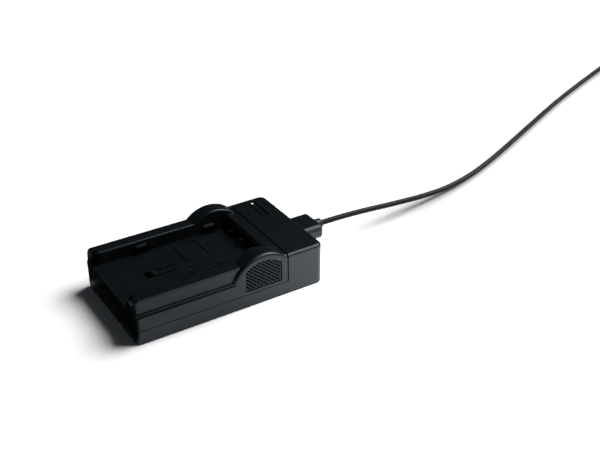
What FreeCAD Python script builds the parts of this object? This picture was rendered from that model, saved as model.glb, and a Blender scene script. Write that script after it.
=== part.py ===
import FreeCAD, Part
import math
import os

# A charger for one camera battery, with its USB lead. Millimetres, +Z up.
# The origin is the middle of the housing's underside. The battery slides in from -X, the lead
# leaves the head at +X, and Y is across. Pieces on the right-hand side have positive Y.

# Housing
body_length = 88.7
body_width = 52.0
head_top = 19.7
head_length = 18.1
parting_height = 6.5
front_corner_radius = 2.0
rear_corner_radius = 3.3
shoulder_radius = 1.5
bottom_edge_radius = 0.6
wall = 1.8
floor_thickness = 1.8
lip_thickness = 0.8
lip_height = 1.2
fit_clearance = 0.1
parting_groove_width = 0.3
parting_groove_depth = 0.35
seam_groove_width = 0.7
seam_groove_depth = 0.6

# Battery bay
deck_height = 13.7
deck_thickness = 1.8
bay_width = 36.4
rail_edge_radius = 0.5
rail_lead_in_radius = 0.8
rail_nose_radius = 3.0
rail_corner_radius = 2.0
rail_core_wall = 1.5
hood_length = 6.3
hood_lip_chamfer = 1.1

# Arched cheeks and their grilles
arch_to_seam = 11.7
arch_axis_height = 8.2
arch_plate_radius = 13.95
grille_from_seam = 3.0
grille_width = 18.0
grille_bottom = 7.95
grille_radius = 12.8
grille_pocket_depth = 1.7
grille_thickness = 1.2
grille_border = 0.45
lattice_pitch = 1.3
lattice_bar = 0.42
lattice_angle = 40.0
lattice_depth = 0.7

# Hooks that hold the battery down, and the windows under them
hook_from_front = 22.6
hook_from_wall = 8.8
hook_length = 5.0
hook_reach = 1.2
hook_rise = 2.2
hook_thickness = 1.2
hook_window_length = 7.3
hook_window_in_deck = 1.0
hook_window_in_rail = 1.2

# Latch tongue cut in the deck
tongue_tip_from_front = 18.9
tongue_length = 12.1
tongue_width = 3.3
tongue_slit = 0.8
tongue_tip_gap = 2.5
tongue_bump_length = 2.5
tongue_bump_height = 0.8
tongue_bump_crest = 0.6
tongue_bump_radius = 0.3

# Moulded outlines in the deck: distance of each from the hood's lip, and from the middle line
outline_width = 0.5
outline_depth = 0.35
outline_radius = 2.0
square_from_lip = 17.1
square_from_middle = 1.3
square_length = 11.4
square_width = 14.9
bracket_from_lip = 17.0
bracket_from_middle = -16.2
bracket_length = 13.9
bracket_width = 10.5

# Screws from below
screw_from_front = 8.0
screw_from_lip = 6.0
screw_half_spacing = 13.0
screw_diameter = 2.0
screw_length = 8.0
screw_head_diameter = 4.0
screw_head_height = 1.5
screw_slot_depth = 0.8
screw_slot_width = 0.7
screw_slot_length = 2.6
screw_recess_depth = 2.6
screw_hole_clearance = 0.15
boss_wall = 1.6

# Circuit board and what it carries
plug_height = 12.3
board_thickness = 1.6
board_edge_gap = 0.7
board_post_diameter = 4.0
board_pin_diameter = 1.5
board_pin_height = 0.8
board_post_from_seam = 3.4
board_post_from_end = 5.6
board_post_from_side = 5.4
board_neck_gap = 0.9
board_wall_gap = 0.3
board_corner_radius = 2.5
board_step_radius = 0.5
socket_width = 7.5
socket_height = 2.5
socket_length = 5.2
socket_metal = 0.25
socket_corner_radius = 0.6
socket_recess = 0.6
socket_tongue_width = 3.6
socket_tongue_thickness = 0.5
socket_tongue_length = 3.4
socket_tongue_lift = 0.1
socket_tongue_radius = 0.15
socket_opening_gap = 0.35
blade_thickness = 0.8
blade_height = 2.6
blade_reach = 4.2
blade_from_ceiling = 0.8
blade_spacing = 8.9
blade_leg = 1.4
blade_leg_gap = 0.6
blade_tip_radius = 1.0
blade_bend_radius = 0.5

# Chips on the board: length, width and height of each, with places from the seam and the middle line
chip_row_x = 8.4
chip_edge = 0.2
chip_lead_width = 0.4
chip_lead_thickness = 0.2
chip_lead_reach = 0.9
controller_size = (5.0, 4.0, 1.6)
controller_y = 10.0
controller_lead_count = 4
controller_pitch = 1.27
converter_size = (2.9, 1.6, 1.1)
converter_y = -5.5
converter_lead_count = 3
converter_pitch = 0.95
inductor_from_board_side = 9.9
inductor_side = 6.0
inductor_corner_radius = 1.0
inductor_base_height = 0.7
inductor_drum_diameter = 4.4
inductor_drum_height = 1.8
inductor_cap_diameter = 5.6
inductor_cap_height = 0.6
small_row_x = 2.9
small_edge = 0.1
diode_size = (2.6, 4.3, 2.0)
diode_y = -8.5
diode_edge = 0.3
capacitor_size = (3.2, 1.6, 1.4)
capacitor_count = 3
capacitor_pitch = 3.0
capacitor_y = 0.0
resistor_size = (2.0, 1.2, 0.6)
resistor_count = 4
resistor_pitch = 2.0
resistor_y = 11.0

# Indicator window, its light pipe and lamp
window_width = 3.5
window_length = 14.8
window_from_end = 8.4
window_from_side = 3.0
window_thickness = 1.1
window_sink = 0.1
window_ledge = 0.6
window_edge = 0.25
light_pipe_diameter = 1.6
light_pipe_end_radius = 0.2
lamp_length = 2.0
lamp_width = 1.3
lamp_height = 0.85
lamp_edge = 0.15

# Micro-USB plug in the head
grip_length = 11.8
grip_width = 15.2
grip_thickness = 7.0
grip_corner_radius = 2.5
grip_end_radius = 0.7
relief_length = 3.9
relief_diameter = 5.2
relief_end_diameter = 4.9
relief_end_radius = 0.7
plug_nose_width = 6.8
plug_nose_height = 1.85
plug_nose_length = 5.1
plug_metal = 0.25
plug_nose_slant = 0.7
plug_nose_corner_radius = 0.2
plug_bore_side = 1.0

# Lead: cable, its coil and tie
cable_diameter = 2.3
coil_diameters_across = 11.0
coil_layers = 2
coil_columns = 3
coil_slack = 0.1
coil_lead = 12.0
tie_thickness = 0.5
tie_width = 3.0
tie_clearance = 0.2
tie_corner_radius = 0.8

# USB-A plug at the lead's far end
a_grip_length = 24.0
a_grip_width = 15.6
a_grip_corner_radius = 2.6
a_grip_end_radius = 1.0
a_relief_length = 7.0
a_relief_diameter = 5.2
a_relief_end_diameter = 4.0
a_shell_width = 12.0
a_shell_height = 4.5
a_shell_length = 14.0
a_shell_metal = 0.4
a_shell_corner_radius = 0.6
a_window_size = 2.2
a_window_spacing = 5.6
a_window_from_end = 6.0
a_tongue_thickness = 1.8
a_tongue_setback = 1.2
a_tongue_side_gap = 0.3
a_contact_length = 8.0
a_contact_width = 1.1
a_contact_thickness = 0.25
a_contact_spacing = 2.2
a_contact_setback = 1.0
a_contact_count = 4
a_tongue_edge = 0.3

# Places that follow from the sizes above
front_x = -body_length / 2
rear_x = body_length / 2
side_y = body_width / 2
seam_x = rear_x - head_length
lip_x = seam_x - hood_length
bay_y = bay_width / 2
rail_y = side_y - shoulder_radius
arch_x = seam_x - arch_to_seam
deck_underside = deck_height - deck_thickness
ceiling = head_top - wall
blade_top = ceiling - blade_from_ceiling
board_top = plug_height - socket_height / 2
board_bottom = board_top - board_thickness
board_end_x = rear_x - wall - board_edge_gap
board_side_y = side_y - wall - board_edge_gap
window_x = rear_x - window_from_end
window_far_y = side_y - window_from_side
lamp_y = window_far_y - window_width / 2
socket_back_x = rear_x - socket_recess - socket_length
screw_head_top = screw_recess_depth
relief_x = rear_x + grip_length
lead_start_x = relief_x + relief_length
coil_height = coil_layers * cable_diameter + 2 * coil_slack
first_turn_height = tie_thickness + coil_slack + cable_diameter / 2
a_axis_height = first_turn_height + cable_diameter * (coil_layers - 1)
a_grip_thickness = 2 * a_axis_height

# The free stretch of the lead, from the strain relief to the coil's first turn
lead_route = [
    (lead_start_x, 0.0, plug_height),
    (72.6, 0.0, plug_height),
    (89.6, 1.3, 10.3),
    (107.6, 3.7, 7.3),
    (126.6, 6.6, 4.3),
    (146.6, 10.2, 2.2),
    (167.6, 16.2, 1.4),
    (191.6, 25.6, 1.3),
    (218.6, 37.5, 1.3),
    (249.6, 51.5, 1.3),
    (282.6, 66.0, 1.3),
    (316.6, 79.0, 1.5),
    (339.6, 87.5, first_turn_height),
    (356.6, 93.7, first_turn_height),
]

X = FreeCAD.Vector(1, 0, 0)
Y = FreeCAD.Vector(0, 1, 0)
Z = FreeCAD.Vector(0, 0, 1)
ORIGIN = FreeCAD.Vector(0, 0, 0)
FAR = 200.0


def vector(x, y, z):
    return FreeCAD.Vector(x, y, z)


def box(x0, x1, y0, y1, z0, z1):
    return Part.makeBox(x1 - x0, y1 - y0, z1 - z0, vector(x0, y0, z0))


def on_plan(z):
    return lambda u, v: vector(u, v, z)


def on_section(x):
    return lambda u, v: vector(x, u, v)


def on_side(y):
    return lambda u, v: vector(u, y, v)


def rounded_face(place, corners):
    """A flat face through corners (u, v, radius), each rounded by a tangent arc of its radius."""
    stretches = []
    for i, (u, v, radius) in enumerate(corners):
        corner = vector(u, v, 0)
        before = vector(*corners[i - 1][:2], 0) - corner
        after = vector(*corners[(i + 1) % len(corners)][:2], 0) - corner
        before.normalize()
        after.normalize()
        half = before.getAngle(after) / 2
        reach = radius / math.tan(half)
        bisector = before + after
        if radius > 0:
            bisector.normalize()
        middle = corner + bisector * (radius / math.sin(half) - radius)
        stretches.append((corner + before * reach, middle, corner + after * reach, radius))
    edges = []
    for i, (start, middle, end, radius) in enumerate(stretches):
        if radius > 0:
            ends = [place(p.x, p.y) for p in (start, middle, end)]
            edges.append(Part.Arc(*ends).toShape())
        onward = stretches[(i + 1) % len(stretches)][0]
        if (onward - end).Length > 1e-6:
            edges.append(Part.LineSegment(place(end.x, end.y), place(onward.x, onward.y)).toShape())
    return Part.Face(Part.Wire(edges))


def rectangle(u0, u1, v0, v1, radius):
    return [(u0, v0, radius), (u1, v0, radius), (u1, v1, radius), (u0, v1, radius)]


def prism(place, corners, direction, length):
    return rounded_face(place, corners).extrude(direction * length)


def body_plan(inset):
    front = max(front_corner_radius - inset, 0.2)
    rear = max(rear_corner_radius - inset, 0.2)
    return [
        (front_x + inset, -side_y + inset, front),
        (rear_x - inset, -side_y + inset, rear),
        (rear_x - inset, side_y - inset, rear),
        (front_x + inset, side_y - inset, front),
    ]


def body_prism(inset, bottom, top):
    return prism(on_plan(bottom), body_plan(inset), Z, top - bottom)


def edges_at_height(shape, z):
    return [e for e in shape.Edges if abs(e.BoundBox.ZMin - z) < 1e-6 and abs(e.BoundBox.ZMax - z) < 1e-6]


def edges_at_x(shape, x):
    return [e for e in shape.Edges if abs(e.BoundBox.XMin - x) < 1e-6 and abs(e.BoundBox.XMax - x) < 1e-6]


def mirrored(shape):
    return shape.mirror(ORIGIN, Y)


def tidy(shape):
    return shape.removeSplitter()


def head_envelope(inset):
    """The head's outer form over the whole length, with its rounded shoulder."""
    block = body_prism(inset, 0, head_top - inset)
    return block.makeFillet(shoulder_radius, edges_at_height(block, head_top - inset))


def parting_groove():
    half = parting_groove_width / 2
    ring = box(front_x - 1, seam_x, -FAR, FAR, parting_height - half, parting_height + half)
    return ring.cut(body_prism(parting_groove_depth, 0, head_top))


def seam_groove():
    half = seam_groove_width / 2
    slab = box(seam_x - half, seam_x + half, -FAR, FAR, parting_height, FAR)
    return slab.cut(head_envelope(seam_groove_depth))


def screw_places():
    return [(x, y) for x in (front_x + screw_from_front, lip_x - screw_from_lip)
            for y in (-screw_half_spacing, screw_half_spacing)]


def board_posts():
    return [(x, y) for x in (seam_x + board_post_from_seam, rear_x - board_post_from_end)
            for y in (-side_y + board_post_from_side, side_y - board_post_from_side)]


def window_outline(inset):
    radius = window_width / 2 - inset
    return rectangle(window_x - radius, window_x + radius,
                     window_far_y - window_length + inset, window_far_y - inset, radius)


def base_housing():
    tray = body_prism(0, 0, parting_height)
    head = head_envelope(0).common(box(seam_x, FAR, -FAR, FAR, 0, FAR))
    shell = tidy(tray.fuse(head))
    shell = shell.makeFillet(bottom_edge_radius, edges_at_height(shell, 0))
    shell = shell.cut(body_prism(wall, floor_thickness, ceiling))

    lip = body_prism(wall - lip_thickness, floor_thickness, parting_height + lip_height)
    lip = lip.cut(body_prism(wall, floor_thickness, parting_height + lip_height))
    lip = lip.common(box(-FAR, seam_x - 2 * fit_clearance, -FAR, FAR, 0, FAR))
    added = [lip]
    taken = [parting_groove(), seam_groove()]

    boss_radius = screw_head_diameter / 2 + screw_hole_clearance + boss_wall
    for x, y in screw_places():
        added.append(Part.makeCylinder(boss_radius, parting_height, vector(x, y, 0)))
        taken.append(Part.makeCylinder(screw_head_diameter / 2 + screw_hole_clearance,
                                       screw_recess_depth, vector(x, y, 0)))
        taken.append(Part.makeCylinder(screw_diameter / 2 + screw_hole_clearance,
                                       parting_height, vector(x, y, 0)))
    for x, y in board_posts():
        added.append(Part.makeCylinder(board_post_diameter / 2, board_bottom - floor_thickness / 2,
                                       vector(x, y, floor_thickness / 2)))
        added.append(Part.makeCylinder(board_pin_diameter / 2, board_thickness + board_pin_height,
                                       vector(x, y, board_bottom)))

    half_width = socket_width / 2 + socket_opening_gap
    half_height = socket_height / 2 + socket_opening_gap
    opening = rectangle(-half_width, half_width, plug_height - half_height, plug_height + half_height,
                        half_height / 2)
    taken.append(prism(on_section(rear_x - 2 * wall), opening, X, 3 * wall))

    window_floor = head_top - window_sink - window_thickness
    taken.append(prism(on_plan(window_floor), window_outline(0), Z, wall))
    taken.append(prism(on_plan(ceiling - wall), window_outline(window_ledge), Z, 2 * wall))
    return tidy(shell.fuse(added).cut(taken))


def cheek_side():
    """The right-hand wall of the cradle: rail, arched cheek and the hood's shoulder."""
    rail = prism(on_section(front_x), [
        (bay_y, parting_height, 0),
        (side_y, parting_height, 0),
        (side_y, deck_height, shoulder_radius),
        (rail_y, deck_height, 0),
        (rail_y, head_top, rail_edge_radius),
        (bay_y, head_top, rail_lead_in_radius),
    ], X, arch_x - front_x)

    rim_radius = arch_plate_radius + shoulder_radius
    section = rounded_face(lambda u, v: vector(arch_x, u, arch_axis_height + v), [
        (bay_y, 0, 0),
        (side_y, 0, 0),
        (side_y, rim_radius, shoulder_radius),
        (bay_y, rim_radius, rail_lead_in_radius),
    ])
    disc = section.revolve(vector(arch_x, 0, arch_axis_height), Y, 360)
    disc = disc.common(box(-FAR, seam_x, 0, FAR, parting_height, FAR))

    shoulder = prism(on_section(arch_x), [
        (bay_y, parting_height, 0),
        (side_y, parting_height, 0),
        (side_y, head_top, shoulder_radius),
        (bay_y, head_top, 0),
    ], X, seam_x - arch_x)
    return rail.fuse([disc, shoulder])


def grille_field(inset, y0, y1):
    """The arched field of a grille between two depths, drawn in by an even margin."""
    end_x = seam_x - grille_from_seam
    block = box(end_x - grille_width + inset, end_x - inset, y0, y1, grille_bottom + inset, FAR)
    disc = Part.makeCylinder(grille_radius - inset, y1 - y0, vector(arch_x, y0, arch_axis_height), Y)
    return block.common(disc)


def grille_right():
    back = side_y - grille_pocket_depth
    front = back + grille_thickness
    panel = grille_field(fit_clearance, back, front)

    slant = math.radians(lattice_angle)
    side = lattice_pitch / math.sin(2 * slant)
    half_pit = (side - lattice_bar / math.sin(2 * slant)) / 2
    across = 2 * half_pit * math.cos(slant)
    up = 2 * half_pit * math.sin(slant)
    count = int(2 * grille_radius / lattice_pitch)
    field = grille_field(fit_clearance + grille_border, front - lattice_depth, front)
    pits = []
    for i in range(-count, count + 1):
        for j in range(-count, count + 1):
            u = arch_x + (i + j) * side * math.cos(slant)
            v = arch_axis_height + (i - j) * side * math.sin(slant)
            if field.isInside(vector(u, front - lattice_depth / 2, v), 0, True):
                corners = [(u + across, v, 0), (u, v + up, 0), (u - across, v, 0), (u, v - up, 0)]
                pits.append(prism(on_side(front - lattice_depth), corners, Y, lattice_depth).common(field))
    print("pits in each grille:", len(pits))
    return panel.cut(Part.makeCompound(pits))


def hook_places():
    return [front_x + hook_from_front, lip_x - hook_from_wall]


def deck_outline(x0, x1, y0, y1):
    """A shallow rounded-rectangle groove in the deck."""
    floor = deck_height - outline_depth
    outer = prism(on_plan(floor), rectangle(x0, x1, y0, y1, outline_radius), Z, 2 * outline_depth)
    w = outline_width
    inner = rectangle(x0 + w, x1 - w, y0 + w, y1 - w, outline_radius - w)
    return outer.cut(prism(on_plan(floor), inner, Z, 2 * outline_depth))


def battery_cradle():
    right = cheek_side()
    deck = box(front_x, lip_x + wall, -bay_y, bay_y, parting_height, deck_height)
    contact_wall = box(lip_x, lip_x + wall, -bay_y, bay_y, deck_underside, head_top)
    hood = box(lip_x, seam_x, -bay_y, bay_y, ceiling, head_top)
    solid = right.fuse([mirrored(right), deck, contact_wall, hood])
    solid = tidy(solid.common(body_prism(0, 0, FAR)))

    taken = [
        body_prism(wall, 0, deck_underside).common(box(-FAR, lip_x + wall, -FAR, FAR, 0, FAR)),
        box(lip_x + wall, FAR, -bay_y, bay_y, 0, ceiling),
        body_prism(wall - lip_thickness - fit_clearance, 0, parting_height + lip_height + fit_clearance),
        parting_groove(),
        seam_groove(),
        prism(on_side(-bay_y), [
            (lip_x, head_top - hood_lip_chamfer, 0),
            (lip_x + hood_lip_chamfer, head_top, 0),
            (lip_x, head_top, 0),
        ], Y, bay_width),
    ]

    nose = box(front_x, front_x + rail_nose_radius, -FAR, FAR, head_top - rail_nose_radius, FAR)
    taken.append(nose.cut(Part.makeCylinder(
        rail_nose_radius, 2 * FAR,
        vector(front_x + rail_nose_radius, -FAR, head_top - rail_nose_radius), Y)))

    corner = box(front_x - 1, front_x + rail_corner_radius, rail_y - rail_corner_radius, FAR, deck_height, FAR)
    corner = corner.cut(Part.makeCylinder(
        rail_corner_radius, FAR,
        vector(front_x + rail_corner_radius, rail_y - rail_corner_radius, deck_height)))
    taken.extend([corner, mirrored(corner)])

    core = box(front_x + wall, seam_x - wall, bay_y + rail_core_wall, rail_y - rail_core_wall,
               deck_underside - 1, ceiling)
    taken.extend([core, mirrored(core)])

    pocket = grille_field(0, side_y - grille_pocket_depth, side_y + 1)
    taken.extend([pocket, mirrored(pocket)])

    added = []
    for x in hook_places():
        window = box(x - hook_window_length / 2, x + hook_window_length / 2,
                     bay_y - hook_window_in_deck, bay_y + hook_window_in_rail,
                     deck_underside - 1, deck_height + hook_rise)
        taken.extend([window, mirrored(window)])
        bottom = deck_height + hook_rise
        hook = prism(on_section(x - hook_length / 2), [
            (bay_y + hook_window_in_rail, bottom, 0),
            (bay_y + hook_window_in_rail, bottom + hook_thickness + hook_reach / 2, 0),
            (bay_y, bottom + hook_thickness + hook_reach / 2, 0),
            (bay_y - hook_reach, bottom + hook_thickness, 0),
            (bay_y - hook_reach, bottom, 0),
        ], X, hook_length)
        added.extend([hook, mirrored(hook)])

    tip_x = front_x + tongue_tip_from_front
    slit_y = tongue_width / 2
    for y in (-slit_y - tongue_slit, slit_y):
        taken.append(box(tip_x, tip_x + tongue_length, y, y + tongue_slit, 0, FAR))
    taken.append(box(tip_x - tongue_tip_gap, tip_x, -slit_y - tongue_slit, slit_y + tongue_slit, 0, FAR))
    added.append(prism(on_side(-slit_y), [
        (tip_x, deck_height - tongue_bump_height, 0),
        (tip_x, deck_height, 0),
        (tip_x + tongue_bump_crest, deck_height + tongue_bump_height, tongue_bump_radius),
        (tip_x + tongue_bump_length, deck_height, 0),
        (tip_x + tongue_bump_length, deck_height - tongue_bump_height, 0),
    ], Y, tongue_width))

    square_x = lip_x - square_from_lip
    taken.append(deck_outline(square_x - square_length, square_x,
                              square_from_middle, square_from_middle + square_width))
    bracket_x = lip_x - bracket_from_lip
    taken.append(deck_outline(bracket_x - bracket_length, bracket_x,
                              bracket_from_middle, bracket_from_middle + bracket_width))

    slot = blade_thickness / 2 + fit_clearance
    for y in blade_places():
        taken.append(box(lip_x - 1, lip_x + 2 * wall, y - slot, y + slot,
                         blade_top - blade_height - fit_clearance, blade_top + fit_clearance))

    boss_radius = screw_diameter / 2 + boss_wall
    for x, y in screw_places():
        added.append(Part.makeCylinder(boss_radius, deck_underside - parting_height + deck_thickness / 2,
                                       vector(x, y, parting_height)))
    solid = tidy(solid.cut(taken).fuse(added))
    pilots = [Part.makeCylinder(screw_diameter / 2, screw_recess_depth + screw_length - parting_height,
                                vector(x, y, parting_height)) for x, y in screw_places()]
    return solid.cut(pilots)


def blade_places():
    return [-blade_spacing, 0.0, blade_spacing]


def contact_blade(y):
    """A flat blade through the contact wall, with a leg that stands on the board."""
    bottom = blade_top - blade_height
    back = lip_x + wall + blade_leg_gap + blade_leg
    return prism(on_side(y - blade_thickness / 2), [
        (lip_x - blade_reach, bottom, blade_tip_radius),
        (back - blade_leg, bottom, 0),
        (back - blade_leg, board_top, 0),
        (back, board_top, 0),
        (back, blade_top, blade_bend_radius),
        (lip_x - blade_reach, blade_top, blade_tip_radius),
    ], Y, blade_thickness)


def circuit_board():
    neck_y = bay_y - board_neck_gap
    neck_x = lip_x + wall + board_wall_gap
    step_x = seam_x + 2 * fit_clearance
    board = prism(on_plan(board_bottom), [
        (neck_x, -neck_y, board_step_radius),
        (step_x, -neck_y, 0),
        (step_x, -board_side_y, board_step_radius),
        (board_end_x, -board_side_y, board_corner_radius),
        (board_end_x, board_side_y, board_corner_radius),
        (step_x, board_side_y, board_step_radius),
        (step_x, neck_y, 0),
        (neck_x, neck_y, board_step_radius),
    ], Z, board_thickness)
    holes = [Part.makeCylinder(board_pin_diameter / 2 + fit_clearance, 2 * board_thickness,
                               vector(x, y, board_bottom - 0.1)) for x, y in board_posts()]
    return board.cut(holes)


def usb_socket_shell():
    half_w = socket_width / 2
    half_h = socket_height / 2
    outer = rectangle(-half_w, half_w, plug_height - half_h, plug_height + half_h, socket_corner_radius)
    m = socket_metal
    inner = rectangle(-half_w + m, half_w - m, plug_height - half_h + m, plug_height + half_h - m,
                      socket_corner_radius - m)
    shell = prism(on_section(socket_back_x), outer, X, socket_length)
    return shell.cut(prism(on_section(socket_back_x + m), inner, X, socket_length))


def usb_socket_tongue():
    half = socket_tongue_width / 2
    bottom = plug_height + socket_tongue_lift
    back = socket_back_x + socket_metal
    outline = rectangle(-half, half, bottom, bottom + socket_tongue_thickness, socket_tongue_radius)
    return prism(on_section(back), outline, X, socket_tongue_length)


def on_board(from_seam, y, size, edge):
    """A chip standing on the board: a block with its top edges broken."""
    length, width, height = size
    x = seam_x + from_seam
    chip = box(x - length / 2, x + length / 2, y - width / 2, y + width / 2, board_top, board_top + height)
    return chip.makeChamfer(edge, edges_at_height(chip, board_top + height))


def leaded_chip(from_seam, y, size, leads, pitch):
    """A moulded chip with a row of leads along each long side."""
    reach = size[1] / 2 + chip_lead_reach
    half = chip_lead_width / 2
    pins = []
    for k in range(leads):
        x = seam_x + from_seam + (k - (leads - 1) / 2) * pitch
        pins.append(box(x - half, x + half, y - reach, y + reach, board_top, board_top + chip_lead_thickness))
    return tidy(on_board(from_seam, y, size, chip_edge).fuse(pins))


def chip_row(from_seam, y, size, count, pitch):
    places = [y + (k - (count - 1) / 2) * pitch for k in range(count)]
    return Part.makeCompound([on_board(from_seam, place, size, small_edge) for place in places])


def boost_inductor():
    x = seam_x + chip_row_x
    y = inductor_from_board_side - board_side_y
    half = inductor_side / 2
    outline = rectangle(x - half, x + half, y - half, y + half, inductor_corner_radius)
    base = prism(on_plan(board_top), outline, Z, inductor_base_height)
    drum_bottom = board_top + inductor_base_height
    drum = Part.makeCylinder(inductor_drum_diameter / 2, inductor_drum_height, vector(x, y, drum_bottom))
    cap = Part.makeCylinder(inductor_cap_diameter / 2, inductor_cap_height,
                            vector(x, y, drum_bottom + inductor_drum_height))
    return tidy(base.fuse([drum, cap]))


def status_led():
    return on_board(window_x - seam_x, lamp_y, (lamp_length, lamp_width, lamp_height), lamp_edge)


def light_pipe():
    bottom = board_top + lamp_height
    top = head_top - window_sink / 2
    rod = Part.makeCylinder(light_pipe_diameter / 2, top - bottom, vector(window_x, lamp_y, bottom))
    return rod.makeFillet(light_pipe_end_radius, edges_at_height(rod, top))


def indicator_window():
    bottom = head_top - window_sink - window_thickness
    lens = prism(on_plan(bottom), window_outline(fit_clearance), Z, window_thickness)
    lens = lens.makeChamfer(window_edge, edges_at_height(lens, bottom + window_thickness))
    return lens.cut(Part.makeCylinder(light_pipe_diameter / 2 + fit_clearance / 2, 2 * window_thickness,
                                      vector(window_x, lamp_y, bottom - 0.1)))


def case_screws():
    screws = []
    for x, y in screw_places():
        head = Part.makeCylinder(screw_head_diameter / 2, screw_head_height,
                                 vector(x, y, screw_head_top - screw_head_height))
        shank = Part.makeCylinder(screw_diameter / 2, screw_length, vector(x, y, screw_head_top))
        half = screw_slot_width / 2
        long = screw_slot_length / 2
        z0 = screw_head_top - screw_head_height
        cross = box(x - long, x + long, y - half, y + half, z0, z0 + screw_slot_depth).fuse(
            box(x - half, x + half, y - long, y + long, z0, z0 + screw_slot_depth))
        screws.append(tidy(head.fuse(shank).cut(cross)))
    return Part.makeCompound(screws)


def relief(start_x, length, diameter, end_diameter):
    """A tapered sleeve on the X axis where a cable leaves a grip."""
    sleeve = Part.makeCone(diameter / 2, end_diameter / 2, length, vector(start_x, 0, 0), X)
    return sleeve.makeFillet(relief_end_radius, edges_at_x(sleeve, start_x + length))


def micro_usb_plug_grip():
    half_w = grip_width / 2
    half_t = grip_thickness / 2
    body = prism(on_section(rear_x), rectangle(-half_w, half_w, -half_t, half_t, grip_corner_radius),
                 X, grip_length)
    body = body.makeFillet(grip_end_radius, edges_at_x(body, relief_x))
    grip = body.fuse(relief(relief_x - grip_end_radius, relief_length + grip_end_radius,
                            relief_diameter, relief_end_diameter))
    grip = tidy(grip)
    grip.translate(vector(0, 0, plug_height))
    return grip


def micro_usb_plug_shell():
    half_w = plug_nose_width / 2
    half_h = plug_nose_height / 2
    m = plug_metal
    start = rear_x - plug_nose_length
    corner = plug_nose_corner_radius
    outer = [
        (-half_w + plug_nose_slant, plug_height - half_h, corner),
        (half_w - plug_nose_slant, plug_height - half_h, corner),
        (half_w, plug_height, corner),
        (half_w, plug_height + half_h, corner),
        (-half_w, plug_height + half_h, corner),
        (-half_w, plug_height, corner),
    ]
    nose = prism(on_section(start), outer, X, plug_nose_length)
    bore_w = half_w - plug_bore_side
    bore = rectangle(-bore_w, bore_w, plug_height - half_h + m, plug_height + half_h - m, corner / 2)
    return nose.cut(prism(on_section(start), bore, X, plug_nose_length - m))


def lead_path():
    """Straight runs joined by tangent arcs, each as large as its two runs allow."""
    points = [vector(*p) for p in lead_route]
    edges = []
    here = points[0]
    for before, corner, after in zip(points, points[1:], points[2:]):
        back = before - corner
        on = after - corner
        shorter = min(back.Length, on.Length)
        turn = math.pi - back.getAngle(on)
        reach = 0.45 * shorter
        radius = reach / math.tan(turn / 2)
        back.normalize()
        on.normalize()
        bisector = back + on
        bisector.normalize()
        middle = corner + bisector * (radius / math.cos(turn / 2) - radius)
        start = corner + back * reach
        end = corner + on * reach
        edges.append(Part.LineSegment(here, start).toShape())
        edges.append(Part.Arc(start, middle, end).toShape())
        print("lead bend at x %.0f: turn %.1f degrees, radius %.0f mm" % (
            corner.x, math.degrees(turn), radius))
        here = end
    edges.append(Part.LineSegment(here, points[-1]).toShape())
    return Part.Wire(edges)


def usb_cable():
    path = lead_path()
    area = math.pi * (cable_diameter / 2) ** 2
    start = vector(*lead_route[0])
    heading = vector(*lead_route[1]) - start
    ring = Part.Wire(Part.makeCircle(cable_diameter / 2, start, heading))
    tube = path.makePipeShell([ring], True, True)
    print("lead tube: length %.1f mm, volume / (section x length) = %.4f" % (
        path.Length, tube.Volume / (area * path.Length)))
    return tube


def coil_frame():
    """The coil's heading, its right-hand side, its middle and its outer turn's radius."""
    end = vector(*lead_route[-1])
    heading = end - vector(*lead_route[-2])
    heading.z = 0
    heading.normalize()
    aside = vector(heading.y, -heading.x, 0)
    outer_turn = cable_diameter * (coil_diameters_across / 2 + (coil_columns - 1) / 2)
    middle = end + heading * coil_lead + aside * outer_turn
    middle.z = 0
    return heading, aside, middle, outer_turn


def usb_cable_coil():
    """Outer shape of the wound length, with the two straight ends that run on to it and off it."""
    heading, aside, middle, outer_turn = coil_frame()
    outer = outer_turn + cable_diameter / 2 + coil_slack
    inner = outer - coil_columns * cable_diameter - 2 * coil_slack
    ring = Part.makeCylinder(outer, coil_height, middle + Z * tie_thickness)
    ring = ring.cut(Part.makeCylinder(inner, coil_height, middle + Z * tie_thickness))
    lead_in = Part.makeCylinder(cable_diameter / 2, coil_lead, vector(*lead_route[-1]), heading)
    leaving = middle + heading * outer_turn + Z * a_axis_height
    lead_out = Part.makeCylinder(cable_diameter / 2, coil_lead, leaving, aside)
    return tidy(ring.fuse([lead_in, lead_out]))


def cable_tie():
    """A strap round the coil's section, on the side away from its two ends."""
    heading, aside, middle, outer_turn = coil_frame()
    loose = coil_slack + tie_clearance
    outer = outer_turn + cable_diameter / 2 + loose
    inner = outer - coil_columns * cable_diameter - 2 * loose
    t = tie_thickness
    top = t + coil_height + tie_clearance
    half = tie_width / 2
    strap = prism(on_side(-half), rectangle(inner - t, outer + t, 0, top + t, tie_corner_radius), Y, tie_width)
    strap = strap.cut(box(inner, outer, -half, half, t, top))
    angle = math.degrees(math.atan2(aside.y - heading.y, aside.x - heading.x))
    strap.rotate(ORIGIN, Z, angle)
    strap.translate(middle)
    return strap


def at_far_end(shape):
    """Moves a piece made along +X from the cable's end to where the lead ends."""
    heading, aside, middle, outer_turn = coil_frame()
    shape.rotate(ORIGIN, Z, math.degrees(math.atan2(aside.y, aside.x)))
    shape.translate(middle + heading * outer_turn + aside * coil_lead + Z * a_axis_height)
    return shape


def usb_a_plug_grip():
    half_w = a_grip_width / 2
    half_t = a_grip_thickness / 2
    body = prism(on_section(a_relief_length), rectangle(-half_w, half_w, -half_t, half_t, a_grip_corner_radius),
                 X, a_grip_length)
    ends = edges_at_x(body, a_relief_length) + edges_at_x(body, a_relief_length + a_grip_length)
    body = body.makeFillet(a_grip_end_radius, ends)
    sleeve = Part.makeCone(a_relief_end_diameter / 2, a_relief_diameter / 2,
                           a_relief_length + a_grip_end_radius, ORIGIN, X)
    return at_far_end(tidy(body.fuse(sleeve)))


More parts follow.
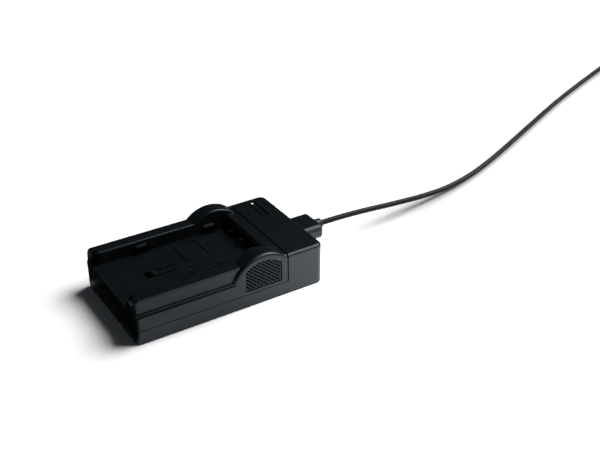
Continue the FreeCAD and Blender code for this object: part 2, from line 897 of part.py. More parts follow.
def a_shell_start():
    return a_relief_length + a_grip_length


def usb_a_plug_shell():
    half_w = a_shell_width / 2
    half_h = a_shell_height / 2
    m = a_shell_metal
    start = a_shell_start()
    outer = rectangle(-half_w, half_w, -half_h, half_h, a_shell_corner_radius)
    inner = rectangle(-half_w + m, half_w - m, -half_h + m, half_h - m, a_shell_corner_radius - m)
    shell = prism(on_section(start), outer, X, a_shell_length)
    shell = shell.cut(prism(on_section(start), inner, X, a_shell_length))
    window_x0 = start + a_shell_length - a_window_from_end
    half = a_window_size / 2
    windows = [box(window_x0 - half, window_x0 + half, y - half, y + half, -half_h - 1, half_h + 1)
               for y in (-a_window_spacing / 2, a_window_spacing / 2)]
    return at_far_end(shell.cut(windows))


def a_tongue_span():
    """Height range and end of the plastic tongue, which lies on the shell's lower wall."""
    bottom = -a_shell_height / 2 + a_shell_metal
    return bottom, bottom + a_tongue_thickness, a_shell_start() + a_shell_length - a_tongue_setback


def usb_a_plug_tongue():
    bottom, top, end = a_tongue_span()
    half = a_shell_width / 2 - a_shell_metal - a_tongue_side_gap
    tongue = box(a_shell_start(), end, -half, half, bottom, top)
    return at_far_end(tongue.makeChamfer(a_tongue_edge, edges_at_x(tongue, end)))


def usb_a_plug_contacts():
    bottom, top, end = a_tongue_span()
    front = end - a_contact_setback
    half = a_contact_width / 2
    strips = []
    for k in range(a_contact_count):
        y = (k - (a_contact_count - 1) / 2) * a_contact_spacing
        strips.append(box(front - a_contact_length, front, y - half, y + half, top, top + a_contact_thickness))
    return at_far_end(Part.makeCompound(strips))


def build():
    grille = grille_right()
    blades = [contact_blade(y) for y in blade_places()]
    return {
        "base_housing": base_housing(),
        "battery_cradle": battery_cradle(),
        "grille_right": grille,
        "grille_left": mirrored(grille),
        "indicator_window": indicator_window(),
        "light_pipe": light_pipe(),
        "status_led": status_led(),
        "circuit_board": circuit_board(),
        "usb_socket_shell": usb_socket_shell(),
        "usb_socket_tongue": usb_socket_tongue(),
        "negative_contact": blades[0],
        "sense_contact": blades[1],
        "positive_contact": blades[2],
        "charge_controller_ic": leaded_chip(chip_row_x, controller_y, controller_size,
                                            controller_lead_count, controller_pitch),
        "boost_converter_ic": leaded_chip(chip_row_x, converter_y, converter_size,
                                          converter_lead_count, converter_pitch),
        "boost_inductor": boost_inductor(),
        "rectifier_diode": on_board(small_row_x, diode_y, diode_size, diode_edge),
        "ceramic_capacitors": chip_row(small_row_x, capacitor_y, capacitor_size,
                                       capacitor_count, capacitor_pitch),
        "chip_resistors": chip_row(small_row_x, resistor_y, resistor_size,
                                   resistor_count, resistor_pitch),
        "case_screws": case_screws(),
        "micro_usb_plug_grip": micro_usb_plug_grip(),
        "micro_usb_plug_shell": micro_usb_plug_shell(),
        "usb_cable": usb_cable(),
        "usb_cable_coil": usb_cable_coil(),
        "cable_tie": cable_tie(),
        "usb_a_plug_grip": usb_a_plug_grip(),
        "usb_a_plug_shell": usb_a_plug_shell(),
        "usb_a_plug_tongue": usb_a_plug_tongue(),
        "usb_a_plug_contacts": usb_a_plug_contacts(),
    }


os.makedirs("parts", exist_ok=True)
for name, shape in build().items():
    shape.exportStep("parts/" + name + ".step")
    print("%-22s solids %d  volume %9.1f mm3  valid %s" % (
        name, len(shape.Solids), shape.Volume, shape.isValid()))
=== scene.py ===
import math

import bmesh
import bpy
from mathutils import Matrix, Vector


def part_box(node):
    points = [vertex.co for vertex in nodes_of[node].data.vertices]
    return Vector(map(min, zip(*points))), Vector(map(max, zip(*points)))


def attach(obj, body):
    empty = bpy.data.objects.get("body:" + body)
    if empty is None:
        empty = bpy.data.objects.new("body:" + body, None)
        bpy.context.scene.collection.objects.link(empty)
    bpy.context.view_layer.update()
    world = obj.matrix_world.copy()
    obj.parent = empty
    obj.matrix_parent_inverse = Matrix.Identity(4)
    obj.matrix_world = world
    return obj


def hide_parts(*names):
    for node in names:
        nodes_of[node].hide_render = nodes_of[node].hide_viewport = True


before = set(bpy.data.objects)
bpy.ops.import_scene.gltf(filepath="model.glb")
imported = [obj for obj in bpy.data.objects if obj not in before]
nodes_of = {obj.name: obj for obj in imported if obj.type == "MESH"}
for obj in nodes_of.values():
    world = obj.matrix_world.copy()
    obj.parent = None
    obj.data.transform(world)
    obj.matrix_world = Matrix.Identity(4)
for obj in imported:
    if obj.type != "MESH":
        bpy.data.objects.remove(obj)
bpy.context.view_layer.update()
scene = bpy.context.scene
MM = 0.001


def put(name, data, location=(0.0, 0.0, 0.0)):
    """A new object in the scene."""
    made = bpy.data.objects.new(name, data)
    made.location = location
    scene.collection.objects.link(made)
    return made


# Camera

CAMERA_LENS = 57.827
CAMERA_PLACE = (-0.154435, -0.321244, 0.234484)
CAMERA_DOWN = 30.043
CAMERA_HEADING = -32.303


def make_camera():
    data = bpy.data.cameras.new("camera")
    data.sensor_fit = "HORIZONTAL"
    data.sensor_width = 36.0
    data.lens = CAMERA_LENS
    camera = put("camera", data, CAMERA_PLACE)
    camera.rotation_euler = (math.radians(90 - CAMERA_DOWN), 0.0, math.radians(CAMERA_HEADING))
    scene.camera = camera


# Shader nodes

def new_material(name):
    made = bpy.data.materials.new(name)
    made.use_nodes = True
    return made, made.node_tree, made.node_tree.nodes["Principled BSDF"]


def connect(tree, made, **inputs):
    """Set or link a node's inputs; underscores stand for spaces, and _0 is the first by number."""
    for key, value in inputs.items():
        number = key[1:]
        socket = made.inputs[int(number) if number.isdigit() else key.replace("_", " ")]
        if isinstance(value, bpy.types.NodeSocket):
            tree.links.new(value, socket)
        else:
            socket.default_value = value
    return made


def node(tree, kind, settings=(), **inputs):
    """A new node with its settings, and inputs as for connect."""
    made = tree.nodes.new(kind)
    for key, value in dict(settings).items():
        setattr(made, key, value)
    return connect(tree, made, **inputs)


def place(tree):
    """Position on the part, in metres."""
    return tree.nodes.new("ShaderNodeTexCoord").outputs["Object"]


def face_normal(tree):
    return tree.nodes.new("ShaderNodeNewGeometry").outputs["Normal"]


def axes(tree, vector=None):
    """The X, Y and Z outputs of a vector, or of the position on the part."""
    return node(tree, "ShaderNodeSeparateXYZ", Vector=vector or place(tree)).outputs


def calc(tree, operation, *values):
    made = node(tree, "ShaderNodeMath", {"operation": operation},
                **{"_%d" % k: value for k, value in enumerate(values)})
    return made.outputs["Value"]


def product(tree, first, *others):
    for other in others:
        first = calc(tree, "MULTIPLY", first, other)
    return first


def distance(tree, first, second):
    """Length of the line with these two parts at right angles."""
    squares = [calc(tree, "MULTIPLY", part, part) for part in (first, second)]
    return calc(tree, "SQRT", calc(tree, "ADD", *squares))


def remap(tree, value, start, stop, low=0.0, high=1.0, kind="LINEAR"):
    """Value brought from the range start to stop to the range low to high, and held within it."""
    return node(tree, "ShaderNodeMapRange", {"interpolation_type": kind}, Value=value,
                From_Min=start, From_Max=stop, To_Min=low, To_Max=high).outputs["Result"]


def spread(tree, value, middle, below, above):
    """Value 0 to 1 brought to the range from middle - below to middle + above."""
    return remap(tree, value, 0.0, 1.0, middle - below, middle + above)


def noise(tree, scale, detail=2.0, roughness=0.5, where=None):
    """Noise from 0 to 1, with scale as waves in a metre."""
    return node(tree, "ShaderNodeTexNoise", Vector=where or place(tree), Scale=scale,
                Detail=detail, Roughness=roughness).outputs["Fac"]


def ramp(tree, factor, *stops):
    """A colour ramp from (position, grey or colour) stops."""
    made = node(tree, "ShaderNodeValToRGB", Fac=factor)
    elements = made.color_ramp.elements
    while len(elements) < len(stops):
        elements.new(0.5)
    for element, (position, colour) in zip(elements, stops):
        element.position = position
        element.color = (*colour, 1.0) if hasattr(colour, "__len__") else (*[colour] * 3, 1.0)
    return made.outputs["Color"]


def blend(tree, factor, first, second):
    """First colour where the factor is 0, second where it is 1."""
    made = node(tree, "ShaderNodeMix", {"data_type": "RGBA"}, _0=factor, _6=first, _7=second)
    return made.outputs[2]


def soft_edges(tree, radius):
    """Normal rounded at edges; radius in millimetres."""
    return node(tree, "ShaderNodeBevel", {"samples": 6}, Radius=radius * MM).outputs["Normal"]


def edge_mask(tree, rounded, low, high):
    """1 along convex and concave edges, where the rounded normal leaves the face's own."""
    dot = node(tree, "ShaderNodeVectorMath", {"operation": "DOT_PRODUCT"},
               _0=rounded, _1=face_normal(tree))
    return remap(tree, dot.outputs["Value"], high, low)


def bump(tree, height, strength, depth, normal=None):
    """Normal of a surface with this relief; depth in millimetres."""
    made = node(tree, "ShaderNodeBump", Strength=strength, Distance=depth * MM, Height=height)
    if normal:
        connect(tree, made, Normal=normal)
    return made.outputs["Normal"]


# Places on the part that its painted shade and glow follow

DECK = 13.7 * MM

ARCH_X = 14.55 * MM
ARCH_Z = 8.2 * MM
LATTICE_PITCH = 1.3 * MM
LATTICE_SLANT = math.radians(40)
LATTICE_REACH = 12.25 * MM
LATTICE_START, LATTICE_END = 5.8 * MM, 22.7 * MM
LATTICE_FOOT = 8.5 * MM
PIT_FROM, PIT_TO = 0.01 * MM, 0.05 * MM
BAR_FROM, BAR_TO, BAR_END = 0.080, 0.100, 0.175

BAY_SIDE = 18.0 * MM
BAY_MIDDLE, BAY_HALF = -14.4 * MM, 29.4 * MM
GROOVE_TOP = DECK - 0.04 * MM
HOOK_FOOT, HOOK_SHADE = DECK + 1.0 * MM, 0.87
SHOULDER_SIDE = 24.45 * MM
SHOULDER_TOP, SHOULDER_SHADE = DECK + 0.06 * MM, 0.62
SLOPE_FROM, SLOPE_TO = 0.15, 0.40
NOSE_FROM, NOSE_TO = -40.0 * MM, -41.5 * MM
NOSE_SIDE = 20.5 * MM
NOSE_FOOT, NOSE_SHADE = DECK + 0.3 * MM, 0.85

WINDOW_LINE_FROM, WINDOW_LINE_TO = 0.75 * MM, 0.50 * MM
PIPE_RADIUS = 0.8 * MM


def lattice_painted_shade(tree):
    """Painted shade: 1 (painted black) in the lattice's holes and along its bars' edges, 0 on the
    bars' middles and the border.
    """
    x, y, z = axes(tree)
    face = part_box("grille_right")[1].y
    holes = remap(tree, calc(tree, "ABSOLUTE", y), face - PIT_FROM, face - PIT_TO)
    beside = calc(tree, "SUBTRACT", x, ARCH_X)
    above = calc(tree, "SUBTRACT", z, ARCH_Z)
    side = LATTICE_PITCH / math.sin(2 * LATTICE_SLANT)
    columns = calc(tree, "DIVIDE", beside, 2 * side * math.cos(LATTICE_SLANT))
    rows = calc(tree, "DIVIDE", above, 2 * side * math.sin(LATTICE_SLANT))
    off_bars = []
    for way in ("ADD", "SUBTRACT"):
        phase = calc(tree, "FRACT", calc(tree, way, columns, rows))
        off_bars.append(calc(tree, "ABSOLUTE", calc(tree, "SUBTRACT", phase, 0.5)))
    nearest = calc(tree, "MINIMUM", *off_bars)
    edges = product(tree, remap(tree, nearest, BAR_FROM, BAR_TO),
                    calc(tree, "LESS_THAN", nearest, BAR_END),
                    calc(tree, "LESS_THAN", distance(tree, beside, above), LATTICE_REACH),
                    calc(tree, "GREATER_THAN", x, LATTICE_START),
                    calc(tree, "LESS_THAN", x, LATTICE_END),
                    calc(tree, "GREATER_THAN", z, LATTICE_FOOT))
    return calc(tree, "MAXIMUM", holes, edges)


def cradle_painted_shade(tree):
    """Painted shade: 1 in the deck's grooves, less on hooks, rail noses and the shoulder outside
    the rails, darkening their highlights.
    """
    x, y, z = axes(tree)
    across = calc(tree, "ABSOLUTE", y)
    along = calc(tree, "ABSOLUTE", calc(tree, "SUBTRACT", x, BAY_MIDDLE))
    grooves = calc(tree, "LESS_THAN", z, GROOVE_TOP)
    hooks = calc(tree, "MULTIPLY", calc(tree, "GREATER_THAN", z, HOOK_FOOT), HOOK_SHADE)
    bay = product(tree, calc(tree, "LESS_THAN", across, BAY_SIDE),
                  calc(tree, "LESS_THAN", along, BAY_HALF),
                  calc(tree, "MAXIMUM", grooves, hooks))
    upward = axes(tree, face_normal(tree))["Z"]
    shoulder = product(tree, remap(tree, upward, SLOPE_FROM, SLOPE_TO, high=SHOULDER_SHADE),
                       calc(tree, "GREATER_THAN", across, SHOULDER_SIDE),
                       calc(tree, "LESS_THAN", z, SHOULDER_TOP))
    nose = product(tree, remap(tree, x, NOSE_FROM, NOSE_TO, high=NOSE_SHADE),
                   calc(tree, "LESS_THAN", across, NOSE_SIDE),
                   calc(tree, "GREATER_THAN", z, NOSE_FOOT))
    return calc(tree, "MAXIMUM", bay, calc(tree, "MAXIMUM", shoulder, nose))


def window_painted_shadow_line(tree):
    """Painted shadow line: 1 in the line just inside the indicator window's outline, 0 within it.
    """
    low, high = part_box("indicator_window")
    middle, half = (low + high) / 2, (high - low) / 2
    x, y, _ = axes(tree)
    along = calc(tree, "ABSOLUTE", calc(tree, "SUBTRACT", y, middle.y))
    past_end = calc(tree, "MAXIMUM", calc(tree, "SUBTRACT", along, half.y - half.x), 0.0)
    reach = distance(tree, calc(tree, "SUBTRACT", x, middle.x), past_end)
    return remap(tree, reach, half.x - WINDOW_LINE_FROM, half.x - WINDOW_LINE_TO)


# Materials

# Black for painted shade: grille holes, cradle grooves and the window's outline
PAINTED_SHADE_BLACK = (0.0003, 0.0003, 0.0004, 1.0)
COOL_TINT = (0.80, 0.91, 1.0, 1.0)
PLASTIC_SPECULAR = 0.36
RUBBED_GLOSS = -0.10


def moulded_plastic(name, dark, light, worn_and_highlight, roughness, grain, depth, edge=0.16, shade=None):
    """Moulded plastic: spark-eroded grain, mottled colour and gloss, edges soft and rubbed smooth.

    The grain's size and depth and the edges' radius are in millimetres. Where the mask that shade
    gives is 1, the plastic is painted black as shade, and made metallic so that it reflects
    nothing.
    """
    made, tree, shader = new_material(name)
    rounded = soft_edges(tree, edge)
    scuffs = ramp(tree, noise(tree, 420, 4.0, 0.65), (0.35, 0.0), (0.75, 1.0))
    # Lighter, smoother edges in random scuffs: partly rubbed wear, partly a painted edge highlight
    wear_and_edge_highlight = calc(tree, "MULTIPLY", edge_mask(tree, rounded, 0.90, 0.995), scuffs)
    body = ramp(tree, noise(tree, 70, 5.0, 0.6), (0.30, dark), (0.72, light))
    colour = blend(tree, wear_and_edge_highlight, body, (*worn_and_highlight, 1.0))
    cloudy = spread(tree, noise(tree, 160, 4.0, 0.6), roughness, 0.05, 0.06)
    if shade:
        painted_black_share = shade(tree)
        colour = blend(tree, painted_black_share, colour, PAINTED_SHADE_BLACK)
        connect(tree, shader, Metallic=painted_black_share)
    pits = noise(tree, 1 / (grain * MM), 2.0, 0.6)
    connect(tree, shader, Base_Color=colour,
            Roughness=calc(tree, "MULTIPLY_ADD", wear_and_edge_highlight, RUBBED_GLOSS, cloudy),
            Normal=bump(tree, pits, 0.5, depth, rounded),
            Specular_Tint=COOL_TINT, Specular_IOR_Level=PLASTIC_SPECULAR)
    return made


def smoked_window(name):
    """Dark gloss window plastic, with faint flow marks and a painted black shadow line inside its
    outline.
    """
    made, tree, shader = new_material(name)
    line = window_painted_shadow_line(tree)
    flow = node(tree, "ShaderNodeTexWave", {"bands_direction": "Y"}, Vector=place(tree),
                Scale=140.0, Distortion=6.0, Detail=3.0).outputs["Fac"]
    body = ramp(tree, flow, (0.0, (0.0034, 0.0042, 0.0049)), (1.0, (0.0046, 0.0056, 0.0064)))
    connect(tree, shader, Base_Color=blend(tree, line, body, PAINTED_SHADE_BLACK), Metallic=line,
            Roughness=spread(tree, noise(tree, 260, 4.0), 0.32, 0.04, 0.04),
            Normal=bump(tree, flow, 0.15, 0.01, soft_edges(tree, 0.3)),
            Specular_Tint=COOL_TINT, Specular_IOR_Level=PLASTIC_SPECULAR)
    return made


def lit_pipe(name):
    """Clear rod carrying the lamp's light: a white heart in a yellow-green rim."""
    made, tree, shader = new_material(name)
    low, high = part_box("light_pipe")
    middle = (low + high) / 2
    x, y, _ = axes(tree)
    reach = distance(tree, calc(tree, "SUBTRACT", x, middle.x),
                     calc(tree, "SUBTRACT", y, middle.y))
    glow = ramp(tree, remap(tree, reach, 0.0, PIPE_RADIUS),
                (0.0, (1.0, 1.0, 0.84)), (0.50, (0.95, 1.0, 0.76)),
                (0.70, (0.10, 0.13, 0.03)), (0.85, (0.004, 0.008, 0.001)))
    body = ramp(tree, noise(tree, 900), (0.3, (0.010, 0.014, 0.005)), (0.7, (0.016, 0.020, 0.008)))
    connect(tree, shader, Base_Color=body, Emission_Color=glow, Emission_Strength=1.5,
            Roughness=spread(tree, noise(tree, 1500), 0.16, 0.06, 0.06))
    return made


def cable_jacket(name):
    """Soft vinyl jacket with fine chalky scuffs."""
    made, tree, shader = new_material(name)
    chalk = ramp(tree, noise(tree, 900, 5.0, 0.7), (0.45, 0.0), (0.85, 1.0))
    body = ramp(tree, noise(tree, 45, 3.0),
                (0.3, (0.0018, 0.0020, 0.0022)), (0.7, (0.0028, 0.0031, 0.0034)))
    connect(tree, shader, Base_Color=blend(tree, chalk, body, (0.0060, 0.0064, 0.0068, 1.0)),
            Roughness=spread(tree, noise(tree, 300, 4.0, 0.6), 0.31, 0.05, 0.05),
            Normal=bump(tree, noise(tree, 2600), 0.35, 0.02), Specular_IOR_Level=0.12)
    return made


def plated_metal(name, colour, dull, lines, roughness):
    """Plated sheet metal with drawing lines and patches where the plating is duller."""
    made, tree, shader = new_material(name)
    stretched = node(tree, "ShaderNodeMapping", Vector=place(tree), Scale=lines).outputs["Vector"]
    streaks = noise(tree, 1.0, 4.0, 0.6, stretched)
    patches = noise(tree, 320, 4.0, 0.6)
    connect(tree, shader, Base_Color=blend(tree, patches, (*colour, 1.0), (*dull, 1.0)),
            Roughness=spread(tree, streaks, roughness, 0.08, 0.14),
            Normal=bump(tree, streaks, 0.25, 0.01, soft_edges(tree, 0.08)), Metallic=1.0)
    return made


def laminate(name):
    """Solder mask over a glass weave, with copper runs showing through it."""
    made, tree, shader = new_material(name)
    where = place(tree)
    weave = node(tree, "ShaderNodeTexBrick", {"offset": 0.5}, Vector=where, Scale=1600.0,
                 Mortar_Size=0.03, Color1=(0, 0, 0, 1), Color2=(0.5, 0.5, 0.5, 1),
                 Mortar=(1, 1, 1, 1)).outputs["Color"]
    runs = node(tree, "ShaderNodeTexVoronoi", {"distance": "MANHATTAN"}, Vector=where, Scale=420.0)
    copper = ramp(tree, runs.outputs["Distance"], (0.30, 1.0), (0.36, 0.0))
    mask = ramp(tree, noise(tree, 300, 3.0),
                (0.3, (0.004, 0.050, 0.022)), (0.7, (0.006, 0.072, 0.030)))
    connect(tree, shader, Base_Color=blend(tree, copper, mask, (0.020, 0.135, 0.040, 1.0)),
            Roughness=spread(tree, noise(tree, 700, 3.0), 0.31, 0.07, 0.07),
            Normal=bump(tree, weave, 0.3, 0.02))
    return made


def speckled(name, dark, light, roughness, scale, edge=0.08, specular=0.5):
    """Fine-grained solid such as moulding compound, ceramic or pressed ferrite."""
    made, tree, shader = new_material(name)
    connect(tree, shader,
            Base_Color=ramp(tree, noise(tree, scale, 6.0, 0.7), (0.32, dark), (0.70, light)),
            Roughness=spread(tree, noise(tree, scale / 3, 3.0), roughness, 0.07, 0.07),
            Normal=bump(tree, noise(tree, scale * 2), 0.4, 0.015, soft_edges(tree, edge)),
            Specular_IOR_Level=specular)
    return made


BLACK = {"dark": (0.0024, 0.0036, 0.0045), "light": (0.0036, 0.0051, 0.0062),
         "worn_and_highlight": (0.009, 0.012, 0.014), "roughness": 0.34, "grain": 0.40, "depth": 0.060}
housing = moulded_plastic("housing_plastic", **BLACK)
cradle = moulded_plastic("cradle_plastic", **BLACK, shade=cradle_painted_shade)
lattice = moulded_plastic("lattice_plastic", **BLACK, edge=0.04, shade=lattice_painted_shade)
plug_plastic = moulded_plastic("connector_plastic", **BLACK, edge=1.6)
tie_plastic = moulded_plastic("tie_plastic", dark=(0.010, 0.011, 0.011),
                              light=(0.016, 0.017, 0.017), worn_and_highlight=(0.030, 0.031, 0.031),
                              roughness=0.50, grain=0.45, depth=0.030)
window = smoked_window("window_plastic")
pipe = lit_pipe("clear_plastic")
jacket = cable_jacket("cable_jacket")
steel = plated_metal("plated_steel", (0.62, 0.61, 0.58), (0.50, 0.50, 0.49), (90, 900, 900), 0.26)
screw_steel = plated_metal("screw_steel", (0.20, 0.20, 0.21), (0.12, 0.12, 0.125),
                           (700, 700, 120), 0.34)
# Painted shade: the contacts' plating is near black, darker than plated metal, standing in for the
# shadow under the hood
contact = plated_metal("contact_metal", (0.060, 0.058, 0.054), (0.036, 0.035, 0.033),
                       (120, 1200, 1200), 0.36)
board = laminate("board_laminate")
chip = speckled("chip_plastic", (0.010, 0.010, 0.011), (0.020, 0.020, 0.021), 0.52, 1800)
ceramic = speckled("ceramic", (0.26, 0.20, 0.13), (0.36, 0.29, 0.20), 0.36, 1500)
resistive = speckled("resistor_glaze", (0.012, 0.012, 0.014), (0.030, 0.030, 0.034), 0.30, 1600)
ferrite = speckled("ferrite", (0.022, 0.022, 0.024), (0.050, 0.050, 0.053), 0.58, 1300)
mark_ink = speckled("mark_ink", (0.0003, 0.0003, 0.0004), (0.0009, 0.0009, 0.0010), 0.60, 1500,
                    edge=0.01, specular=0.05)
tongue = speckled("tongue_plastic", (0.012, 0.012, 0.013), (0.019, 0.019, 0.020), 0.42, 1100)
pale_tongue = speckled("pale_tongue_plastic", (0.56, 0.56, 0.54), (0.64, 0.64, 0.62), 0.40, 1100)
lamp = speckled("lamp_plastic", (0.70, 0.72, 0.58), (0.82, 0.84, 0.70), 0.25, 1400)

FINISH = {
    "base_housing": housing, "battery_cradle": cradle,
    "grille_left": lattice, "grille_right": lattice,
    "indicator_window": window, "light_pipe": pipe, "status_led": lamp, "circuit_board": board,
    "usb_socket_shell": steel, "usb_socket_tongue": tongue,
    "positive_contact": contact, "sense_contact": contact, "negative_contact": contact,
    "charge_controller_ic": chip, "boost_converter_ic": chip, "rectifier_diode": chip,
    "boost_inductor": ferrite, "ceramic_capacitors": ceramic, "chip_resistors": resistive,
    "case_screws": screw_steel,
    "micro_usb_plug_grip": plug_plastic, "micro_usb_plug_shell": steel,
    "usb_cable": jacket, "usb_cable_coil": jacket, "cable_tie": tie_plastic,
    "usb_a_plug_grip": plug_plastic, "usb_a_plug_shell": steel,
    "usb_a_plug_tongue": pale_tongue, "usb_a_plug_contacts": contact,
}


def finish_nodes():
    for name, obj in nodes_of.items():
        obj.data.materials.clear()
        obj.data.materials.append(FINISH[name])


# The lead

LEAD_DIAMETER = 2.6 * MM
LEAD_ROUTE = [
    (0.06005, 0.0, 0.0123), (0.0726, 0.0, 0.0123), (0.0896, 0.0013, 0.0103),
    (0.1076, 0.0037, 0.0073), (0.1266, 0.0066, 0.0043), (0.1466, 0.0102, 0.0022),
    (0.1676, 0.0162, 0.0014), (0.1916, 0.0256, 0.0013), (0.2186, 0.0375, 0.0013),
    (0.2496, 0.0515, 0.0013), (0.2826, 0.0660, 0.0013), (0.3166, 0.0790, 0.0015),
    (0.3396, 0.0875, 0.00175), (0.3566, 0.0937, 0.00175),
]
COIL_RADII = [0.01495, 0.01255, 0.01015, 0.01015, 0.01255, 0.01495]
COIL_HEIGHTS = [0.00175, 0.00175, 0.00175, 0.00405, 0.00405, 0.00405]
COIL_STEPS = 84
POINTS_A_TURN = 16
EARLY_POINTS = 2
CHANGE_POINTS = 3
COIL_RUN = 0.012
TAIL_SHARES = (0.4, 1.0)


def coil_points():
    """The put-away turns: three inwards on the floor, three outwards on them, then the tail.

    Each change to the next turn's radius and height starts a few points before the full turn.
    """
    last, before = Vector(LEAD_ROUTE[-1]), Vector(LEAD_ROUTE[-2])
    ahead = (last - before).normalized()
    aside = Vector((ahead.y, -ahead.x, 0.0))
    middle = last + COIL_RUN * ahead + COIL_RADII[0] * aside
    points = []
    for step in range(COIL_STEPS + 1):
        turn, since = divmod(step + EARLY_POINTS, POINTS_A_TURN)
        share = min(since / CHANGE_POINTS, 1.0) if turn else 1.0
        old = max(turn - 1, 0)
        radius = COIL_RADII[old] + (COIL_RADII[turn] - COIL_RADII[old]) * share
        height = COIL_HEIGHTS[old] + (COIL_HEIGHTS[turn] - COIL_HEIGHTS[old]) * share
        angle = 2 * math.pi * step / POINTS_A_TURN
        point = middle + radius * (math.sin(angle) * ahead - math.cos(angle) * aside)
        points.append((point.x, point.y, height))
    end = Vector(points[-1])
    return points + [tuple(end + share * COIL_RUN * aside) for share in TAIL_SHARES]


def make_lead():
    data = bpy.data.curves.new("usb_lead", "CURVE")
    data.dimensions = "3D"
    spline = data.splines.new("NURBS")
    points = LEAD_ROUTE + coil_points()
    spline.points.add(len(points) - 1)
    for point, (x, y, z) in zip(spline.points, points):
        point.co = (x, y, z, 1.0)
    spline.order_u = 3
    spline.use_endpoint_u = True
    spline.resolution_u = 8
    spline.use_smooth = True
    data.bevel_depth = LEAD_DIAMETER / 2
    data.bevel_resolution = 5
    data.use_fill_caps = True
    data.materials.append(jacket)
    lead = put("usb_lead", data)
    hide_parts("usb_cable", "usb_cable_coil")
    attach(lead, "root")


# Marks on the deck, in millimetres

MARK_HALF_HEIGHT = 0.02
MARK_ROUNDING = 0.008
PLUS_PLACE = (5.5, 8.9)
MINUS_PLACE = (5.8, -8.9)
DOT_PLACE = (-0.35, -9.2)


def circle(radius, count=32):
    angles = [2 * math.pi * k / count for k in range(count)]
    return [(radius * math.cos(angle), radius * math.sin(angle)) for angle in angles]


def cross(arm, half):
    """A plus sign: one arm's corners, turned four times."""
    corners = [(arm, -half), (arm, half), (half, half)]
    return [(c * x - s * y, s * x + c * y)
            for c, s in ((1, 0), (0, 1), (-1, 0), (0, -1)) for x, y in corners]


def bar(arm, half):
    return [(-arm, -half), (arm, -half), (arm, half), (-arm, half)]


def deck_mark(name, where, *outlines):
    """A thin print with soft edges, filled between its outlines."""
    data = bpy.data.curves.new(name, "CURVE")
    data.dimensions = "2D"
    data.fill_mode = "BOTH"
    data.extrude = (MARK_HALF_HEIGHT - MARK_ROUNDING) * MM
    data.bevel_depth = MARK_ROUNDING * MM
    data.bevel_resolution = 2
    for outline in outlines:
        spline = data.splines.new("POLY")
        spline.points.add(len(outline) - 1)
        for point, (u, v) in zip(spline.points, outline):
            point.co = (u * MM, v * MM, 0.0, 1.0)
        spline.use_cyclic_u = True
    data.materials.append(mark_ink)
    mark = put(name, data, (where[0] * MM, where[1] * MM, DECK + MARK_HALF_HEIGHT * MM))
    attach(mark, "root")


def make_marks():
    deck_mark("deck_dot", DOT_PLACE, circle(0.75))
    deck_mark("deck_plus", PLUS_PLACE, cross(1.15, 0.26))
    deck_mark("deck_minus_ring", MINUS_PLACE, circle(1.5), circle(1.15))
    deck_mark("deck_minus", MINUS_PLACE, bar(0.7, 0.2))


# Studio

FLOOR_HALF = 4.0
PAPER_WHITE = 1.26
BACKDROP_GLOW = 0.15
BACKDROP_FROM, BACKDROP_TO = 0.075, 0.16
LEAD_SHADOW_REACH = 0.020
LEAD_SHADOW = 0.55
OPEN_FROM, OPEN_TO = 1.0, 0.70
LEAD_SHADOW_FROM, LEAD_SHADOW_TO = 0.062, 0.078
CARD_FOOT, CARD_TOP = 0.0004, 0.14
DOME = (0.010, 0.0125, 0.0145)


def grey(level):
    return (level, level, level, 1.0)


def make_floor():
    """White paper that fades into a white backdrop, with a painted soft shadow under the lead."""
    mesh = bpy.data.meshes.new("floor")
    form = bmesh.new()
    bmesh.ops.create_grid(form, x_segments=1, y_segments=1, size=FLOOR_HALF)
    form.to_mesh(mesh)
    form.free()
    made, tree, shader = new_material("paper_floor")
    ray = tree.nodes.new("ShaderNodeLightPath").outputs
    seen = calc(tree, "MAXIMUM", ray["Is Camera Ray"], ray["Is Glossy Ray"])
    seen = calc(tree, "MAXIMUM", seen, ray["Is Transmission Ray"])
    # Painted shadow: the paper darkens by ambient occlusion near the lead beyond the head's end,
    # not by a lamp's cast shadow
    around = node(tree, "ShaderNodeAmbientOcclusion", {"samples": 12}, Distance=LEAD_SHADOW_REACH)
    painted_lead_shadow = remap(tree, around.outputs["AO"], OPEN_FROM, OPEN_TO, high=LEAD_SHADOW)
    beyond = remap(tree, axes(tree)["X"], LEAD_SHADOW_FROM, LEAD_SHADOW_TO, kind="SMOOTHSTEP")
    lit = calc(tree, "SUBTRACT", 1.0, calc(tree, "MULTIPLY", painted_lead_shadow, beyond))
    white = blend(tree, lit, grey(0.0), grey(PAPER_WHITE))
    paper = ramp(tree, noise(tree, 6), (0.3, 0.94), (0.7, 0.95))
    reach = node(tree, "ShaderNodeVectorMath", {"operation": "LENGTH"}, _0=place(tree))
    away = remap(tree, reach.outputs["Value"], BACKDROP_FROM, BACKDROP_TO, kind="SMOOTHSTEP")
    connect(tree, shader, Base_Color=blend(tree, seen, paper, white),
            Emission_Color=grey(BACKDROP_GLOW), Emission_Strength=product(tree, seen, away, lit),
            Roughness=0.9, Specular_IOR_Level=0.1)
    mesh.materials.append(made)
    floor = put("floor", mesh)


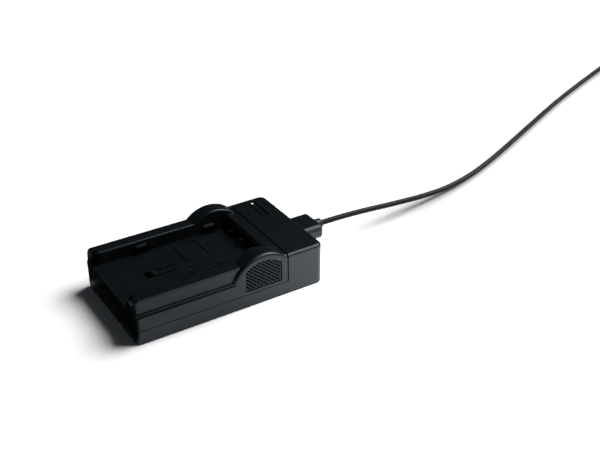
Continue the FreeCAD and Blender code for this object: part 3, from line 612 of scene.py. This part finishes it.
def make_shade_cards():
    """Black cards beyond the bay's open end and behind the head, which only reflections show:
    painted shade, darkening the floor seen in reflections.
    """
    bay_end = [(-0.30, -0.10), (-0.046, -0.10), (-0.046, 0.028), (-0.020, 0.030), (-0.020, 0.30),
               (-0.30, 0.30)]
    behind = [(0.075, 0.005), (0.30, 0.10), (0.30, 0.40), (0.075, 0.40)]
    cards = [[(x, y, CARD_FOOT) for x, y in outline] for outline in (bay_end, behind)]
    cards.append([(0.60, 0.10, CARD_FOOT), (0.10, 0.60, CARD_FOOT),
                  (0.10, 0.60, CARD_TOP), (0.60, 0.10, CARD_TOP)])
    points, faces = [], []
    for card in cards:
        faces.append(range(len(points), len(points) + len(card)))
        points += card
    mesh = bpy.data.meshes.new("flag")
    mesh.from_pydata(points, [], faces)
    made, tree, shader = new_material("black_shade_card")
    connect(tree, shader, Base_Color=ramp(tree, noise(tree, 40, 3.0), (0.3, 0.004), (0.7, 0.008)),
            Roughness=1.0, Specular_IOR_Level=0.0)
    mesh.materials.append(made)
    flag = put("flag", mesh)
    flag.visible_camera = flag.visible_diffuse = False
    flag.visible_shadow = flag.visible_transmission = False


def make_key(name, azimuth, elevation, energy, width):
    """A distant soft lamp; azimuth is measured from +X towards +Y, and angles are in degrees."""
    data = bpy.data.lights.new(name, "SUN")
    data.energy = energy
    data.angle = math.radians(width)
    a, e = math.radians(azimuth), math.radians(elevation)
    towards = Vector((math.cos(a) * math.cos(e), math.sin(a) * math.cos(e), math.sin(e)))
    put(name, data).rotation_euler = towards.to_track_quat("Z", "Y").to_euler()


def make_pool(name, location, target, power, cone):
    """A spot that lays a soft pool of light on the floor."""
    data = bpy.data.lights.new(name, "SPOT")
    data.energy = power
    data.spot_size = math.radians(cone)
    data.spot_blend = 1.0
    data.shadow_soft_size = 0.03
    back = Vector(location) - Vector(target)
    put(name, data, location).rotation_euler = back.to_track_quat("Z", "Y").to_euler()


def make_light():
    make_key("key", azimuth=-5, elevation=47, energy=3.7, width=44)
    make_pool("pool", location=(0.115, -0.240, 0.240), target=(0.062, -0.052, 0.0), power=6.6,
              cone=22)
    world = bpy.data.worlds.new("studio")
    world.use_nodes = True
    tree = world.node_tree
    direction = tree.nodes.new("ShaderNodeTexCoord").outputs["Generated"]
    sky = ramp(tree, axes(tree, direction)["Z"],
               (0.0, 1.0), (0.05, 1.0), (0.16, DOME), (1.0, DOME))
    connect(tree, tree.nodes["Background"], Color=sky)
    scene.world = world


make_camera()
make_lead()
finish_nodes()
make_marks()
make_floor()
make_shade_cards()
make_light()

scene.view_settings.view_transform = "Standard"
